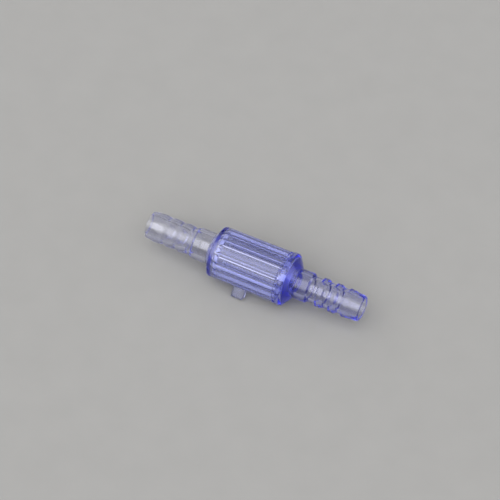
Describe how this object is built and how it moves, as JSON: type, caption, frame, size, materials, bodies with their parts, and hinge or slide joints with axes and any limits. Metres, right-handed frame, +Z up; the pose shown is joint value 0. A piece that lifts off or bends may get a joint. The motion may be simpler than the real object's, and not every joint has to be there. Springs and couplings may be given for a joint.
{
  "type": "check valve",
  "caption": "Inline clear plastic check valve with a hose barb at each end and a caged sliding poppet that lets flow pass one way only.",
  "frame": {"origin": "centre of the bounding box, which lies on the flow axis at mid-length", "axes": "+X along the flow axis towards the inlet end, so flow runs towards -X; +Z up; the moulding stub points down and towards -Y"},
  "size_m": [0.0696, 0.0164, 0.0164],
  "materials": {
    "body_plastic": "clear moulded plastic with a violet-blue tint, gloss",
    "cap_plastic": "clear moulded plastic with a violet-blue tint, gloss",
    "cage_plastic": "clear moulded plastic, faint violet tint, gloss",
    "poppet_plastic": "clear moulded plastic, gloss",
    "seal_silicone": "translucent silicone, satin"
  },
  "bodies": {
    "housing": {"outlet_body": "body_plastic", "inlet_cap": "cap_plastic", "guide_cage": "cage_plastic", "seat_washer": "seal_silicone"},
    "poppet": {"poppet": "poppet_plastic"}
  },
  "joints": [
    {"name": "poppet_slide", "type": "slide", "parent": "housing", "child": "poppet", "axis": [-1, 0, 0], "range_m": [0, 0.002]}
  ]
}
